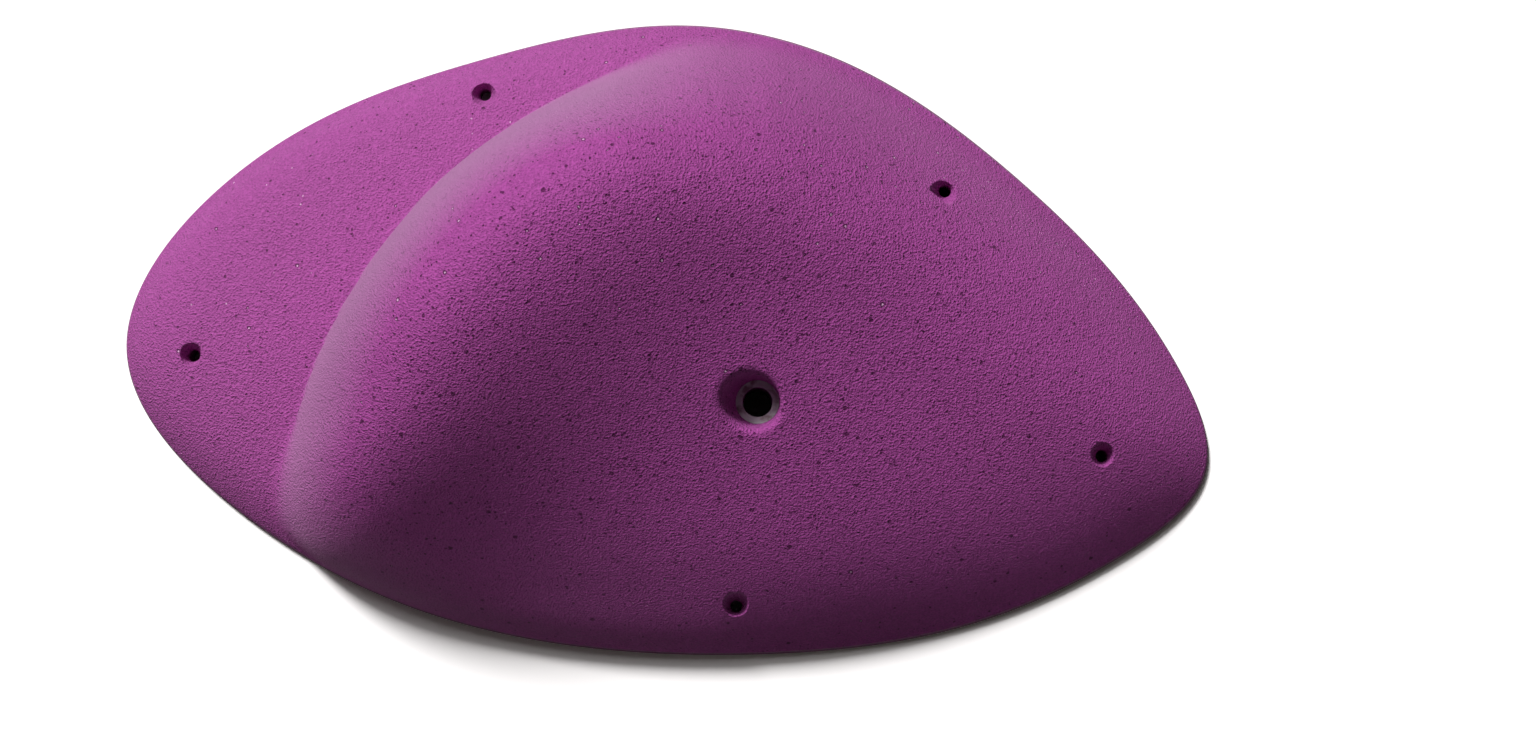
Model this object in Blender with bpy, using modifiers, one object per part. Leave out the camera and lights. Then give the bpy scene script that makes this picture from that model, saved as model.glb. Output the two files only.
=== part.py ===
# A large sloper climbing hold: one hollow-backed casting in polyurethane, and the steel
# washer cast into it that carries the bolt head. Metres, +Z out of the wall. The origin
# is on the wall plane, at the middle of the hold's outline, and +X runs along its length.

import math

import bpy
import numpy as np

MM = 0.001

# Overall size
LENGTH = 541 * MM
WIDTH = 315 * MM
HEIGHT = 150 * MM

# Rim: the drafted wall all round, and the flat land behind it that lies on the wall
RIM_HEIGHT = 5 * MM
RIM_DRAFT = math.radians(16)
RIM_EDGE = 1.2 * MM
RIM_LAND = 14 * MM

# Plan of the hold on the wall, seen from the front. The outline is one smooth closed
# curve through its points, and LENGTH and WIDTH set the real size of the whole plan.
OUTLINE = (
    (269, -64), (256, -16), (178, 78), (78, 144), (9, 158), (-92, 141), (-212, 86),
    (-270, -5), (-205, -93), (-89, -146), (41, -158), (122, -150), (226, -109),
)
# Foot of the dome: the crease beside the wing, and past the outline everywhere else
DOME_FOOT = (
    (300, -70), (212, 85), (128, 147), (82, 169), (37, 156), (27, 155), (-13, 140),
    (-67, 111), (-112, 77), (-141, 44), (-169, 2), (-193, -47), (-197, -72), (-191, -94),
    (-174, -127), (-160, -150), (-120, -185), (46, -222), (222, -186),
)
DOME_CENTRE = (46, 25)
BOLT_AT = (44.6, -33.2)
SCREWS_AT = ((-89.8, 121.2), (-232.7, -8.6), (135, 69.8), (212.3, -58.6), (34.3, -132.7))
FOOT_EASE = 12 * MM

# Low wing beside the dome: a rounded edge, then a gentle rise towards the dome. It sinks
# into the rim over WING_FADE, up to WING_END from the middle of the hold.
WING_RISE = 19.4 * MM
WING_EDGE_ROLL = 16 * MM
WING_SLOPE = 0.15
WING_END = 69 * MM
WING_FADE = 44 * MM

# Crease between wing and dome: crisp along its middle, softer within CREASE_END of the
# rim, and closing again to nothing over FILLET_EASE at the rim itself
CREASE_FILLET = 2.5 * MM
CREASE_END_FILLET = 20.8 * MM
CREASE_END = 66 * MM
FILLET_EASE = 8 * MM

# Top of the dome before its edges roll over: slopes along and across, as shares of the
# height at the middle. Its twist turns the slope over from one end to the other.
CAP_ALONG = -0.78
CAP_ACROSS = 0.65
CAP_TWIST = -0.90
CAP_DISH = 0.33
CAP_CROWN = -0.12

# How the dome rolls over towards its foot, by compass direction from the dome's centre
# in degrees: a higher fullness keeps the roll nearer to the edge, and a higher
# steepness stands the surface up where it ends
ROLLS = (
    (-175, 4.3, 1.27),
    (-160, 5.5, 0.84),
    (-147, 5.0, 1.67),
    (-128, 4.6, 2.18),
    (-100, 6.3, 1.63),
    (-70, 5.4, 1.03),
    (-35, 3.4, 0.95),
    (-5, 3.7, 0.95),
    (35, 3.1, 0.85),
    (80, 2.7, 0.81),
    (112, 2.7, 0.96),
    (145, 3.1, 1.50),
    (165, 3.4, 1.54),
)

# Casting: wall thickness, and webs from the bolt's boss to those of the set screws
WALL = 9 * MM
RIB_THICKNESS = 8 * MM
SPINE_SETBACK = 2 * MM
RIB_SETBACK = 4 * MM

# Bolt: the washer seats its head, and a tapered counterbore lets the head down to it. The
# counterbore leans: its middle runs sideways by these shares of the height gained.
WASHER_BORE = 14 * MM
WASHER_DIAMETER = 28 * MM
WASHER_THICKNESS = 3 * MM
WASHER_FOOT = 72 * MM
WASHER_CHAMFER = 0.5 * MM
COUNTERBORE = 20.6 * MM
COUNTERBORE_DRAFT = math.radians(11)
COUNTERBORE_LEAN = (-0.148, -0.081)
BOLT_BOSS_WALL = 8 * MM
CLEARANCE = 0.3 * MM

# Set screws: a through hole, and a tapered cup for the head
SCREW_BORE = 6 * MM
SCREW_CUP_DEPTH = 9 * MM
SCREW_CUP_DRAFT = math.radians(18)
SCREW_BOSS = 22 * MM
BOSS_DRAFT = math.radians(1.5)

# Mesh density
CURVE_SAMPLES = 1440
STATIONS = 128
DOME_RINGS = 14
DOME_CROWDING = 2
SKIRT_RINGS = 5
SKIRT_CROWDING = 1.5
SKIRT = 9 * MM
CORE_STATIONS = 64
ROUND_SEGMENTS = 32
PROBE_ANGLES = 180
PROBE_RADII = 60
WELD = 0.01 * MM
SHARP_ANGLE = math.radians(35)

# How far the cutters run past the wall plane and past the front
BELOW = 12 * MM


def smooth_step(share):
    share = np.clip(share, 0, 1)
    return share * share * (3 - 2 * share)


def smooth_min(first, second, width):
    """The lesser of two values, eased over where they differ by less than the width."""
    near = np.maximum(width - np.abs(first - second), 0)
    return np.minimum(first, second) - near * near / (4 * width)


def through_points(knots, values, period, wanted):
    """Value at each wanted knot of the smooth periodic cubic through the given values."""
    knots, values = np.asarray(knots, float), np.asarray(values, float)
    gap = np.diff(np.append(knots, knots[0] + period))
    before, here = np.roll(gap, 1), gap
    rise = (np.roll(values, -1, axis=0) - values) / here[:, None]
    system = np.diag(2 * (before + here))
    count = len(knots)
    rows = np.arange(count)
    system[rows, (rows - 1) % count] += here
    system[rows, (rows + 1) % count] += before
    pull = here[:, None] * np.roll(rise, 1, axis=0) + before[:, None] * rise
    slopes = np.linalg.solve(system, 3 * pull)
    phase = np.mod(np.asarray(wanted, float) - knots[0], period) + knots[0]
    left = np.clip(np.searchsorted(knots, phase, side="right") - 1, 0, count - 1)
    right = (left + 1) % count
    span = here[left][:, None]
    t = (phase - knots[left])[:, None] / span
    return (
        values[left] * (1 + 2 * t) * (1 - t) ** 2
        + slopes[left] * span * t * (1 - t) ** 2
        + values[right] * t * t * (3 - 2 * t)
        + slopes[right] * span * t * t * (t - 1)
    )


def closed_curve(points):
    """Evenly sampled points of the smooth closed curve through the given ones."""
    points = np.asarray(points, float)
    steps = np.linalg.norm(np.roll(points, -1, axis=0) - points, axis=1)
    knots = np.concatenate([[0.0], np.cumsum(steps)[:-1]])
    wanted = np.linspace(0, steps.sum(), CURVE_SAMPLES, endpoint=False)
    return through_points(knots, points, steps.sum(), wanted)


def at_real_size(plan_points):
    """Points of the plan, scaled and moved so that its outline fills LENGTH and WIDTH."""
    drawn = closed_curve(OUTLINE)
    low, high = drawn.min(axis=0), drawn.max(axis=0)
    return (plan_points - (low + high) / 2) * np.array([LENGTH, WIDTH]) / (high - low)


OUTLINE_CURVE = at_real_size(closed_curve(OUTLINE))
FOOT_CURVE = at_real_size(closed_curve(DOME_FOOT))
CENTRE_X, CENTRE_Y = at_real_size(np.array(DOME_CENTRE)).tolist()
BOLT_AXIS = at_real_size(np.array(BOLT_AT)).tolist()
SCREW_AXES = at_real_size(np.array(SCREWS_AT)).tolist()


def reach(curve, angles):
    """Distance from the dome's centre to the curve in each direction."""
    arms = curve - np.array([CENTRE_X, CENTRE_Y])
    facing = np.arctan2(arms[:, 1], arms[:, 0])
    return np.interp(angles, facing, np.hypot(arms[:, 0], arms[:, 1]), period=math.tau)


def top_edge(angles):
    """Reach of the rim's top edge."""
    return reach(OUTLINE_CURVE, angles) - RIM_HEIGHT * math.tan(RIM_DRAFT)


def dome_foot(angles):
    """Reach of the dome's foot: the crease, or the rim's top edge where it comes first."""
    return smooth_min(reach(FOOT_CURVE, angles), top_edge(angles), FOOT_EASE)


def bare_dome(radii, angles):
    """The dome's shape before it is scaled to HEIGHT: a tilted, twisted cap, rolled over."""
    u = (CENTRE_X + radii * np.cos(angles)) / (LENGTH / 2)
    v = (CENTRE_Y + radii * np.sin(angles)) / (WIDTH / 2)
    cap = 1 + CAP_ALONG * u + CAP_ACROSS * v + CAP_TWIST * u * v
    cap = cap + CAP_DISH * u * u + CAP_CROWN * v * v
    share = np.clip(radii / dome_foot(angles), 0, 1)
    rolls = np.array(ROLLS)
    roll = through_points(np.radians(rolls[:, 0]), rolls[:, 1:], math.tau, angles.ravel())
    fullness = roll[:, 0].reshape(angles.shape)
    steepness = roll[:, 1].reshape(angles.shape)
    return cap * (1 - share**fullness) ** (1 / steepness)


def dome_peak():
    angles = np.linspace(-math.pi, math.pi, PROBE_ANGLES, endpoint=False)
    shares = np.linspace(0, 1, PROBE_RADII)
    angles, shares = np.meshgrid(angles, shares)
    return bare_dome(shares * dome_foot(angles), angles).max()


DOME_SCALE = (HEIGHT - RIM_HEIGHT) / dome_peak()


def surface_height(radii, angles):
    """Height of the front face over the wall, by distance and direction from the centre."""
    edge = top_edge(angles)
    inside = np.maximum(edge - radii, 0)
    dome = bare_dome(radii, angles) * DOME_SCALE
    present = smooth_step((WING_END - CENTRE_X - edge * np.cos(angles)) / WING_FADE)
    wing = WING_RISE * (1 - np.exp(-inside / WING_EDGE_ROLL)) + WING_SLOPE * inside
    near_end = smooth_step(1 - (edge - reach(FOOT_CURVE, angles)) / CREASE_END)
    fillet = CREASE_FILLET + CREASE_END_FILLET * near_end
    fillet = np.maximum(fillet * present * inside / (inside + FILLET_EASE), WELD)
    return RIM_HEIGHT - smooth_min(-dome, -wing * present, fillet)


def height_at(x, y):
    away = np.array([x - CENTRE_X]), np.array([y - CENTRE_Y])
    return float(surface_height(np.hypot(*away), np.arctan2(away[1], away[0]))[0])


def station_angles(count):
    """Directions to points along the outline, half by its length and half by its turning."""
    step = np.roll(OUTLINE_CURVE, -1, axis=0) - OUTLINE_CURVE
    length = np.linalg.norm(step, axis=1)
    heading = np.arctan2(step[:, 1], step[:, 0])
    turn = np.abs(np.angle(np.exp(1j * (heading - np.roll(heading, 1)))))
    spent = np.cumsum(length / length.sum() + turn / turn.sum())
    picked = np.linspace(0, 2, count, endpoint=False)
    x = np.interp(picked, spent, OUTLINE_CURVE[:, 0])
    y = np.interp(picked, spent, OUTLINE_CURVE[:, 1])
    return np.arctan2(y - CENTRE_Y, x - CENTRE_X)


def crowded(count, power):
    """Shares from just over 0 up to 1 that crowd together towards 1."""
    return 1 - (1 - np.arange(1, count + 1) / count) ** power


def ring_radii(angles):
    """Radii of the rings from the dome's centre to the rim's shoulder, one row per ring."""
    shoulder = top_edge(angles) - RIM_EDGE
    middle = smooth_min(dome_foot(angles), shoulder - SKIRT, FOOT_EASE)
    inner = crowded(DOME_RINGS, DOME_CROWDING)[:, None]
    outer = crowded(SKIRT_RINGS, SKIRT_CROWDING)[:, None]
    return np.vstack([inner * middle, middle + outer * (shoulder - middle)])


def lofted_solid(name, rings, peak):
    """A closed mesh from rings of points, inner to outer, a peak point and a flat base."""
    count = rings.shape[1]
    points = [tuple(peak)] + [tuple(p) for p in rings.reshape(-1, 3)]
    faces = [(0, 1 + i, 1 + (i + 1) % count) for i in range(count)]
    for ring in range(rings.shape[0] - 1):
        near, far = 1 + ring * count, 1 + (ring + 1) * count
        for i in range(count):
            j = (i + 1) % count
            faces.append((near + i, far + i, far + j, near + j))
    last = 1 + (rings.shape[0] - 1) * count
    faces.append(tuple(range(last + count - 1, last - 1, -1)))
    mesh = bpy.data.meshes.new(name)
    mesh.from_pydata(points, [], faces)
    return bpy.data.objects.new(name, mesh)


def placed(radii, angles, heights):
    """Points at the given distance, direction and height from the dome's centre."""
    x = CENTRE_X + radii * np.cos(angles)
    y = CENTRE_Y + radii * np.sin(angles)
    return np.stack([x, y, heights + 0 * radii], axis=-1)


def front_block():
    """The casting's outside as a solid: front face, rounded rim edge and drafted rim."""
    angles = station_angles(STATIONS)
    radii = ring_radii(angles)
    rings = placed(radii, angles, surface_height(radii, angles + 0 * radii))
    lip = top_edge(angles) + RIM_EDGE * math.tan(RIM_DRAFT)
    corner = placed(lip, angles, RIM_HEIGHT - RIM_EDGE)
    base = placed(reach(OUTLINE_CURVE, angles), angles, 0.0)
    rings = np.concatenate([rings, [corner, base]])
    return lofted_solid("hold_shell", rings, (CENTRE_X, CENTRE_Y, height_at(CENTRE_X, CENTRE_Y)))


def hollow_core():
    """The hollow behind the front face, a wall's thickness inside it and open at the back."""
    angles = station_angles(CORE_STATIONS)
    edge = top_edge(angles)
    shrink = (edge - RIM_LAND) / edge
    radii = ring_radii(angles)[1::2]
    heights = surface_height(radii, angles + 0 * radii) - WALL
    rings = placed(radii * shrink, angles, heights)
    base = placed(edge - RIM_LAND, angles, -BELOW)
    peak = (CENTRE_X, CENTRE_Y, height_at(CENTRE_X, CENTRE_Y) - WALL)
    return lofted_solid("hollow_core", np.concatenate([rings, [base]]), peak)


def cone(name, at, low, high, low_radius, high_radius):
    """An upright cone frustum between two heights."""
    bpy.ops.mesh.primitive_cone_add(
        vertices=ROUND_SEGMENTS,
        radius1=low_radius,
        radius2=high_radius,
        depth=high - low,
        location=(at[0], at[1], (low + high) / 2),
    )
    made = bpy.context.object
    made.name = name
    return made


def boss(name, at, foot_diameter):
    """A boss drafted so that the casting leaves its mould, widening away from the wall."""
    tall = HEIGHT + BELOW
    foot = foot_diameter / 2
    return cone(name, at, -BELOW, tall, foot, foot + tall * math.tan(BOSS_DRAFT))


def rib(name, start, end, setback):
    """An upright web from one point to another, set back a little from the wall plane."""
    run = np.subtract(end, start)
    middle = np.add(start, end) / 2
    bpy.ops.mesh.primitive_cube_add(
        size=1,
        location=(middle[0], middle[1], setback + HEIGHT / 2),
        rotation=(0, 0, math.atan2(run[1], run[0])),
    )
    made = bpy.context.object
    made.name = name
    made.scale = (float(np.hypot(*run)), RIB_THICKNESS, HEIGHT)
    return made


def webs():
    """A spine along the hold through the bolt's boss, and a web across it to each screw."""
    ends = [(furthest(at[0] for at in SCREW_AXES), BOLT_AXIS[1]) for furthest in (min, max)]
    made = [rib("spine", *ends, SPINE_SETBACK)]
    for number, at in enumerate(SCREW_AXES, 1):
        made.append(rib(f"cross_rib_{number}", (at[0], BOLT_AXIS[1]), at, RIB_SETBACK))
    return made


def turned(name, profile, at):
    """A solid or a cutter turned about an upright axis from its radius and height pairs."""
    mesh = bpy.data.meshes.new(name)
    points = [(r, 0.0, z) for r, z in profile]
    edges = [(i, (i + 1) % len(points)) for i in range(len(points))]
    mesh.from_pydata(points, edges, [])
    made = bpy.data.objects.new(name, mesh)
    made.location = (at[0], at[1], 0)
    screw = made.modifiers.new("Turn", "SCREW")
    screw.steps = screw.render_steps = ROUND_SEGMENTS
    screw.use_merge_vertices = True
    screw.merge_threshold = WELD
    return made


def bolt_washer():
    inner, outer = WASHER_BORE / 2, WASHER_DIAMETER / 2
    low, high, slant = WASHER_FOOT, WASHER_FOOT + WASHER_THICKNESS, WASHER_CHAMFER
    profile = (
        (inner, high), (outer - slant, high), (outer, high - slant), (outer, low), (inner, low),
    )
    return turned("bolt_washer", profile, BOLT_AXIS)


def bolt_cutter():
    """Bolt hole and washer pocket as one turned cutter."""
    bore = WASHER_BORE / 2
    pocket = WASHER_DIAMETER / 2 + CLEARANCE
    floor = WASHER_FOOT - CLEARANCE
    roof = WASHER_FOOT + WASHER_THICKNESS + CLEARANCE
    profile = (
        (0, roof), (pocket, roof), (pocket, floor), (bore, floor), (bore, -BELOW), (0, -BELOW),
    )
    return turned("bolt_cutter", profile, BOLT_AXIS)


def counterbore_cutter():
    """The leaning taper from inside the washer's pocket up and out past the front."""
    angles = np.linspace(0, math.tau, ROUND_SEGMENTS, endpoint=False)
    washer_top = WASHER_FOOT + WASHER_THICKNESS
    heights = np.array([[HEIGHT + BELOW], [washer_top + CLEARANCE / 2]])
    gained = heights - washer_top
    x, y = (BOLT_AXIS[axis] + COUNTERBORE_LEAN[axis] * gained for axis in (0, 1))
    radii = COUNTERBORE / 2 + gained * math.tan(COUNTERBORE_DRAFT)
    rings = np.stack(
        [x + radii * np.cos(angles), y + radii * np.sin(angles), heights + 0 * angles], axis=-1
    )
    return lofted_solid("counterbore_cutter", rings, (x[0, 0], y[0, 0], heights[0, 0]))


def screw_cutter(name, at):
    """Screw hole and its tapered cup as one turned cutter."""
    bore = SCREW_BORE / 2
    floor = height_at(*at) - SCREW_CUP_DEPTH
    top = HEIGHT + BELOW
    mouth = bore + (top - floor) * math.tan(SCREW_CUP_DRAFT)
    profile = ((0, top), (mouth, top), (bore, floor), (bore, -BELOW), (0, -BELOW))
    return turned(name, profile, at)


def cut(target, cutter):
    """One cutter taken from the target, or all those of a collection in one step."""
    step = target.modifiers.new(cutter.name, "BOOLEAN")
    step.operation = "DIFFERENCE"
    step.solver = "EXACT"
    if isinstance(cutter, bpy.types.Collection):
        step.operand_type = "COLLECTION"
        step.collection = cutter
    else:
        step.object = cutter


def gathered(name, members):
    """A collection of the scene that holds just these objects."""
    collection = bpy.data.collections.new(name)
    bpy.context.scene.collection.children.link(collection)
    for made in members:
        for held in list(made.users_collection):
            held.objects.unlink(made)
        collection.objects.link(made)
    return collection


def hidden(helpers):
    for made in helpers.objects:
        made.hide_render = True
        made.display_type = "WIRE"
    return helpers


def coloured(made, name, colour, roughness, metallic):
    material = bpy.data.materials.new(name)
    material.use_nodes = True
    shader = material.node_tree.nodes["Principled BSDF"]
    shader.inputs["Base Color"].default_value = (*colour, 1)
    shader.inputs["Roughness"].default_value = roughness
    shader.inputs["Metallic"].default_value = metallic
    made.data.materials.append(material)


def build():
    for old in list(bpy.data.objects):
        bpy.data.objects.remove(old, do_unlink=True)

    left_standing = [boss("bolt_boss", BOLT_AXIS, WASHER_DIAMETER + 2 * BOLT_BOSS_WALL)]
    for number, at in enumerate(SCREW_AXES, 1):
        left_standing.append(boss(f"screw_boss_{number}", at, SCREW_BOSS))
    left_standing += webs()
    core = hollow_core()
    cut(core, hidden(gathered("bosses_and_webs", left_standing)))

    cutters = [core, bolt_cutter(), counterbore_cutter()]
    for number, at in enumerate(SCREW_AXES, 1):
        cutters.append(screw_cutter(f"screw_cutter_{number}", at))
    hidden(gathered("cutters", cutters))
    shell = front_block()
    for cutter in cutters:
        cut(shell, cutter)

    washer = bolt_washer()
    parts = gathered("sloper_hold", [shell, washer])
    for made in parts.objects:
        made.data.shade_smooth()
        made.data.set_sharp_from_angle(angle=SHARP_ANGLE)
    coloured(shell, "Purple polyurethane", (0.33, 0.065, 0.27), 0.75, 0.0)
    coloured(washer, "Zinc-plated steel", (0.62, 0.63, 0.65), 0.35, 1.0)


build()
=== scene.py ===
import math
import bpy
import numpy as np
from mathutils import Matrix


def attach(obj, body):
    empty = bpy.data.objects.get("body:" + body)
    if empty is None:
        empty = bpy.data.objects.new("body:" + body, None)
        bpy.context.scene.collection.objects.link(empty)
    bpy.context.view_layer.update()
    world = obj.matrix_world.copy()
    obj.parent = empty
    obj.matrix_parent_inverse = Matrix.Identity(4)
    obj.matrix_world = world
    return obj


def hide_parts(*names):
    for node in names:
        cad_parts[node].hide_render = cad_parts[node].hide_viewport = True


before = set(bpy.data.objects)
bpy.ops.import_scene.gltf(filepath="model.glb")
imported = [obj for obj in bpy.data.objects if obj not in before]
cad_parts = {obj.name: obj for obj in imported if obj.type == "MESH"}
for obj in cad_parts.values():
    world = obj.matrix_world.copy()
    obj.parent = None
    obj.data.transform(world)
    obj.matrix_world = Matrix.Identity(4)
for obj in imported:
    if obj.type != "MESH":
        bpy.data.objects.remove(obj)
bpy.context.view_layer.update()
mm = 0.001
print("frame loaded:", ", ".join(sorted(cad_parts)))

# Casting. Plan points are millimetres on the wall, and length and width set their real size,
# a tenth of a millimetre less than the solid's. The values wingRise to creaseEnd and capAlong
# to capCrown, the rolls and 12 points of the dome's foot come from a least-squares fit to the
# photo's shading and shadow, made by scratch scripts, and are rounded.
hold = {
    "length": 540.9 * mm,
    "width": 314.9 * mm,
    "height": 149.9 * mm,
    "outline": (
        (269, -64), (256, -16), (178, 78), (78, 144), (9, 158), (-92, 141), (-212, 86),
        (-270, -5), (-205, -93), (-89, -146), (41, -158), (122, -150), (226, -109),
    ),
    "domeFoot": (  # the crease beside the wing, and past the outline everywhere else
        (300, -70), (212, 85), (128, 147), (82, 169), (37, 156), (27, 155), (-13, 140),
        (-67, 111), (-112, 77), (-141, 44), (-169, 2), (-193, -47), (-197, -72), (-191, -94),
        (-174, -127), (-160, -150), (-120, -185), (46, -222), (222, -186),
    ),
    "domeCentre": (46, 25),
    "boltAt": (44.6, -33.2),
    "screwsAt": ((-89.8, 121.2), (-232.7, -8.6), (135, 69.8), (212.3, -58.6), (34.3, -132.7)),
    "footEase": 12 * mm,
    "rimHeight": 5 * mm,
    "rimDraft": math.radians(16),
    "rimEdge": 1.2 * mm,       # size of the round at the rim's top edge
    "wingRise": 19.4 * mm,
    "wingEdgeRoll": 16 * mm,
    "wingSlope": 0.15,
    "wingEnd": 69 * mm,
    "wingFade": 44 * mm,
    "creaseFillet": 2.5 * mm,
    "creaseEndFillet": 20.8 * mm,
    "creaseEnd": 66 * mm,
    "filletEase": 8 * mm,
    "capAlong": -0.78,
    "capAcross": 0.65,
    "capTwist": -0.90,
    "capDish": 0.33,
    "capCrown": -0.12,
    "rolls": (                 # direction in degrees, fullness, steepness
        (-175, 4.3, 1.27), (-160, 5.5, 0.84), (-147, 5.0, 1.67), (-128, 4.6, 2.18),
        (-100, 6.3, 1.63), (-70, 5.4, 1.03), (-35, 3.4, 0.95), (-5, 3.7, 0.95), (35, 3.1, 0.85),
        (80, 2.7, 0.81), (112, 2.7, 0.96), (145, 3.1, 1.50), (165, 3.4, 1.54),
    ),
    "stations": 600,
    "domeRings": 64,
    "wingRings": 30,
    "ringCrowding": 1.7,       # how the dome's rings crowd towards its foot
    "evenShare": 0.35,         # of the wing's rings, while the rest crowd at its two edges
    "wingLeast": 9 * mm,       # least breadth that the outer rings share
    "rimRoundRows": 5,
    "rimWallRows": 4,
    "probe": (360, 90),        # directions and distances tried for the dome's peak
    "sharpAngle": math.radians(32),
    "weld": 0.01 * mm,
}
tau = math.tau


def smoothStep(share):  # 3s^2 - 2s^3 between 0 and 1
    share = np.clip(share, 0, 1)
    return share * share * (3 - 2 * share)


def smoothMin(first, second, width):  # lesser of two, less a parabola where they are close
    near = np.maximum(width - np.abs(first - second), 0)
    return np.minimum(first, second) - near * near / (4 * width)


def throughPoints(knots, values, period, wanted):
    # periodic cubic in Hermite form, whose slopes solve the C2 conditions at the knots
    knots, values = np.asarray(knots, float), np.asarray(values, float)
    gap = np.diff(np.append(knots, knots[0] + period))
    before, here = np.roll(gap, 1), gap
    rise = (np.roll(values, -1, axis=0) - values) / here[:, None]
    count = len(knots)
    rows = np.arange(count)
    system = np.diag(2 * (before + here))
    system[rows, (rows - 1) % count] += here
    system[rows, (rows + 1) % count] += before
    pull = here[:, None] * np.roll(rise, 1, axis=0) + before[:, None] * rise
    slopes = np.linalg.solve(system, 3 * pull)
    phase = np.mod(np.asarray(wanted, float) - knots[0], period) + knots[0]
    left = np.clip(np.searchsorted(knots, phase, side="right") - 1, 0, count - 1)
    right = (left + 1) % count
    span = here[left][:, None]
    t = (phase - knots[left])[:, None] / span
    return (values[left] * (1 + 2 * t) * (1 - t) ** 2 + slopes[left] * span * t * (1 - t) ** 2
            + values[right] * t * t * (3 - 2 * t) + slopes[right] * span * t * t * (t - 1))


def closedCurve(points, samples=2400):  # the periodic cubic by chord length
    points = np.asarray(points, float)
    steps = np.linalg.norm(np.roll(points, -1, axis=0) - points, axis=1)
    knots = np.concatenate([[0.0], np.cumsum(steps)[:-1]])
    wanted = np.linspace(0, steps.sum(), samples, endpoint=False)
    return throughPoints(knots, points, steps.sum(), wanted)


drawnOutline = closedCurve(hold["outline"])


def atRealSize(planPoints):  # moved and scaled so that the outline fills length and width
    low, high = drawnOutline.min(axis=0), drawnOutline.max(axis=0)
    fill = np.array([hold["length"], hold["width"]])
    return (np.asarray(planPoints, float) - (low + high) / 2) * fill / (high - low)


outlineCurve = atRealSize(drawnOutline)
footCurve = atRealSize(closedCurve(hold["domeFoot"]))
centre = atRealSize(hold["domeCentre"])
boltAxis = atRealSize(hold["boltAt"])
screwAxes = atRealSize(hold["screwsAt"])


def reach(curve, angles):  # distance from the dome's centre to a curve, by direction
    arms = curve - centre
    facing = np.arctan2(arms[:, 1], arms[:, 0])
    return np.interp(angles, facing, np.hypot(arms[:, 0], arms[:, 1]), period=tau)


def topEdge(angles):  # reach of the rim's top edge: the outline less the drafted wall
    return reach(outlineCurve, angles) - hold["rimHeight"] * math.tan(hold["rimDraft"])


def domeFoot(angles):  # reach of the crease, eased into the rim's top edge
    return smoothMin(reach(footCurve, angles), topEdge(angles), hold["footEase"])


def bareDome(radii, angles):
    # quadratic cap in u and v, times (1 - share^fullness)^(1 / steepness) towards the foot
    u = (centre[0] + radii * np.cos(angles)) / (hold["length"] / 2)
    v = (centre[1] + radii * np.sin(angles)) / (hold["width"] / 2)
    cap = 1 + hold["capAlong"] * u + hold["capAcross"] * v + hold["capTwist"] * u * v
    cap = cap + hold["capDish"] * u * u + hold["capCrown"] * v * v
    share = np.clip(radii / domeFoot(angles), 0, 1)
    rolls = np.array(hold["rolls"])
    roll = throughPoints(np.radians(rolls[:, 0]), rolls[:, 1:], tau, np.ravel(angles))
    fullness, steepness = (column.reshape(np.shape(angles)) for column in roll.T)
    return cap * (1 - share ** fullness) ** (1 / steepness)


def domePeak():  # highest value of the bare dome over a coarse polar grid
    directions, distances = hold["probe"]
    angles, shares = np.meshgrid(np.linspace(-math.pi, math.pi, directions),
                                 np.linspace(0, 1, distances))
    return bareDome(shares * domeFoot(angles), angles).max()


domeScale = (hold["height"] - hold["rimHeight"]) / domePeak()


def surfaceHeight(radii, angles):
    # rim height plus the greater of dome and wing, eased over a fillet at the crease:
    # wing = (rise (1 - e^(-inside / roll)) + slope * inside) * present, and
    # fillet = (crease + end * nearEnd) * present * inside / (inside + ease)
    edge = topEdge(angles)
    inside = np.maximum(edge - radii, 0)
    dome = bareDome(radii, angles) * domeScale
    present = smoothStep((hold["wingEnd"] - centre[0] - edge * np.cos(angles)) / hold["wingFade"])
    wing = hold["wingRise"] * (1 - np.exp(-inside / hold["wingEdgeRoll"]))
    wing = (wing + hold["wingSlope"] * inside) * present
    nearEnd = smoothStep(1 - (edge - reach(footCurve, angles)) / hold["creaseEnd"])
    fillet = hold["creaseFillet"] + hold["creaseEndFillet"] * nearEnd
    fillet = fillet * present * inside / (inside + hold["filletEase"])
    return hold["rimHeight"] - smoothMin(-dome, -wing, np.maximum(fillet, hold["weld"]))


def heightAt(x, y):  # surface height over wall points
    dx, dy = np.atleast_1d(x) - centre[0], np.atleast_1d(y) - centre[1]
    height = surfaceHeight(np.hypot(dx, dy), np.arctan2(dy, dx))
    return height if np.ndim(x) else height[0]


def stationAngles(count):
    # directions to points spread along the outline, half by its length and half by its turning
    step = np.roll(outlineCurve, -1, axis=0) - outlineCurve
    length = np.linalg.norm(step, axis=1)
    heading = np.arctan2(step[:, 1], step[:, 0])
    turn = np.abs(np.angle(np.exp(1j * (heading - np.roll(heading, 1)))))
    spent = np.cumsum(length / length.sum() + turn / turn.sum())
    picked = np.linspace(0, 2, count, endpoint=False)
    x = np.interp(picked, spent, outlineCurve[:, 0])
    y = np.interp(picked, spent, outlineCurve[:, 1])
    return np.arctan2(y - centre[1], x - centre[0])


def placed(radii, angles, heights):  # polar about the dome's centre, to x, y, z
    x, y = centre[0] + radii * np.cos(angles), centre[1] + radii * np.sin(angles)
    return np.stack([x, y, heights + 0 * radii], axis=-1)


def risingShares(count):  # k / count, for k from 1 to count
    return np.arange(1, count + 1) / count


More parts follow.
